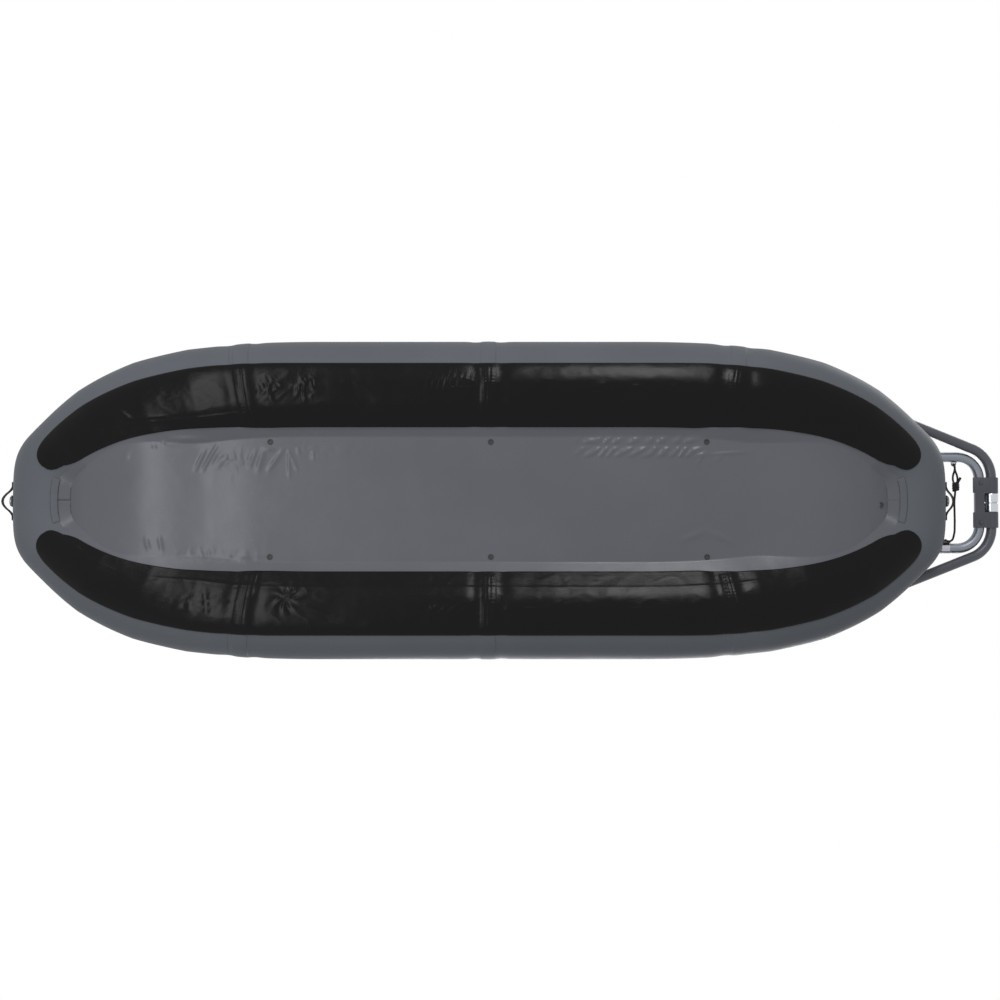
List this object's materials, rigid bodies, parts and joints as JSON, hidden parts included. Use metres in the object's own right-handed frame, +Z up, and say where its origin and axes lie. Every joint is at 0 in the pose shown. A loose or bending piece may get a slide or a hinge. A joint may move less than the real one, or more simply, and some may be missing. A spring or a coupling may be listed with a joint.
{
  "type": "fishing raft",
  "caption": "Inflatable fishing raft with a bolted rowing frame, swivel seats, oarlocks and a stern anchor roller on a bent tube frame.",
  "frame": {"origin": "under the middle of the raft, on the floor that its wear patches rest on", "axes": "+X to the bow, +Y to port, +Z up"},
  "size_m": [4.0376, 1.2316, 0.9761],
  "materials": {
    "grey_vinyl": "satin coated fabric",
    "black_vinyl": "satin coated fabric",
    "floor_vinyl": "satin coated fabric",
    "webbing": "woven webbing",
    "coated_tube": "dark textured powder coat on aluminium",
    "bare_aluminium": "drawn tube, bare",
    "polished_metal": "polished",
    "steel_wire": "stainless",
    "black_plastic": "moulded",
    "seat_plastic": "moulded",
    "seat_vinyl": "sewn vinyl"
  },
  "bodies": {
    "raft": {"bow_section": "grey_vinyl", "stern_section": "grey_vinyl", "bottom_skin": "floor_vinyl", "floor_panel": "floor_vinyl", "port_fore_tube": "grey_vinyl", "port_aft_tube": "grey_vinyl", "port_wear_patch": "black_vinyl", "port_valve_body": "black_plastic", "port_rail": "coated_tube", "port_fore_strap": "webbing", "port_aft_strap": "webbing", "port_oarlock_stand": "coated_tube", "port_bracket_bolt": "coated_tube", "starboard_fore_tube": "grey_vinyl", "starboard_aft_tube": "grey_vinyl", "starboard_wear_patch": "black_vinyl", "starboard_valve_body": "black_plastic", "starboard_rail": "coated_tube", "starboard_fore_strap": "webbing", "starboard_aft_strap": "webbing", "starboard_oarlock_stand": "coated_tube", "starboard_bracket_bolt": "coated_tube", "bow_handle": "webbing", "bow_d_ring_patch": "black_vinyl", "stern_handle": "webbing", "stern_d_ring_patch": "black_vinyl", "bow_bar": "coated_tube", "front_seat_bar": "coated_tube", "foot_bar": "coated_tube", "rowing_seat_bar": "coated_tube", "aft_bar": "coated_tube", "stern_tube": "coated_tube", "hoop_bar": "coated_tube", "bracket": "coated_tube", "anchor_hoop": "bare_aluminium", "pad_eye": "steel_wire", "cleat_base": "black_plastic", "lanyard": "webbing", "front_seat_base": "coated_tube", "rowing_seat_base": "coated_tube"},
    "roller": {"roller": "polished_metal"},
    "port_oarlock": {"port_oarlock": "bare_aluminium"},
    "starboard_oarlock": {"starboard_oarlock": "bare_aluminium"},
    "front_seat_top": {"front_seat_shell": "seat_plastic", "front_seat_cushion": "seat_vinyl"},
    "front_seat_back": {"front_seat_backrest": "seat_plastic", "front_seat_back_cushion": "seat_vinyl"},
    "rowing_seat_top": {"rowing_seat_shell": "seat_plastic", "rowing_seat_cushion": "seat_vinyl"},
    "rowing_seat_back": {"rowing_seat_backrest": "seat_plastic", "rowing_seat_back_cushion": "seat_vinyl"},
    "upper_cam": {"upper_cam": "black_plastic"},
    "lower_cam": {"lower_cam": "black_plastic"},
    "bow_ring": {"bow_d_ring": "steel_wire"},
    "stern_ring": {"stern_d_ring": "steel_wire"},
    "port_cap": {"port_valve_cap": "black_plastic"},
    "starboard_cap": {"starboard_valve_cap": "black_plastic"},
    "port_button": {"port_snap_button": "steel_wire"},
    "starboard_button": {"starboard_snap_button": "steel_wire"}
  },
  "joints": [
    {"name": "roller_spin", "type": "hinge", "parent": "raft", "child": "roller", "pos_m": [-1.99, 0, 0.565], "axis": [0, 1, 0], "continuous": true},
    {"name": "port_oarlock_swivel", "type": "hinge", "parent": "raft", "child": "port_oarlock", "pos_m": [-0.003, 0.425, 0.62307], "axis": [0, 0, 1], "continuous": true},
    {"name": "starboard_oarlock_swivel", "type": "hinge", "parent": "raft", "child": "starboard_oarlock", "pos_m": [-0.003, -0.425, 0.62307], "axis": [0, 0, 1], "continuous": true},
    {"name": "front_seat_swivel", "type": "hinge", "parent": "raft", "child": "front_seat_top", "pos_m": [0.637, 0, 0.46407], "axis": [0, 0, 1], "continuous": true},
    {"name": "front_seat_back_fold", "type": "hinge", "parent": "front_seat_top", "child": "front_seat_back", "pos_m": [0.445, 0, 0.57857], "axis": [0, 1, 0], "range_deg": [0, 100]},
    {"name": "rowing_seat_swivel", "type": "hinge", "parent": "raft", "child": "rowing_seat_top", "pos_m": [-0.363, 0, 0.46407], "axis": [0, 0, 1], "continuous": true},
    {"name": "rowing_seat_back_fold", "type": "hinge", "parent": "rowing_seat_top", "child": "rowing_seat_back", "pos_m": [-0.555, 0, 0.57857], "axis": [0, 1, 0], "range_deg": [0, 100]},
    {"name": "lower_cam_pivot", "type": "hinge", "parent": "raft", "child": "lower_cam", "pos_m": [-1.797, -0.15655, 0.549], "axis": [0, 1, 0], "range_deg": [0, 45], "stiffness_Nm_per_rad": 0.02, "springref_deg": -20.05},
    {"name": "upper_cam_pivot", "type": "hinge", "parent": "raft", "child": "upper_cam", "pos_m": [-1.797, -0.15655, 0.575], "axis": [0, -1, 0], "range_deg": [0, 45], "stiffness_Nm_per_rad": 0.02, "springref_deg": -20.05},
    {"name": "bow_ring_pivot", "type": "hinge", "parent": "raft", "child": "bow_ring", "pos_m": [1.98, 0, 0.35142], "axis": [0, 1, 0], "range_deg": [-165, 8]},
    {"name": "stern_ring_pivot", "type": "hinge", "parent": "raft", "child": "stern_ring", "pos_m": [-1.746, 0, 0.35142], "axis": [0, -1, 0], "range_deg": [-165, 8]},
    {"name": "port_cap_lift", "type": "slide", "parent": "raft", "child": "port_cap", "axis": [0, -0.6428, 0.766], "range_m": [0, 0.03]},
    {"name": "starboard_cap_lift", "type": "slide", "parent": "raft", "child": "starboard_cap", "axis": [0, 0.6428, 0.766], "range_m": [0, 0.03]},
    {"name": "port_button_press", "type": "slide", "parent": "raft", "child": "port_button", "axis": [0, -1, 0], "range_m": [0, 0.0065], "stiffness_N_per_m": 900, "springref_m": -0.004},
    {"name": "starboard_button_press", "type": "slide", "parent": "raft", "child": "starboard_button", "axis": [0, 1, 0], "range_m": [0, 0.0065], "stiffness_N_per_m": 900, "springref_m": -0.004}
  ]
}
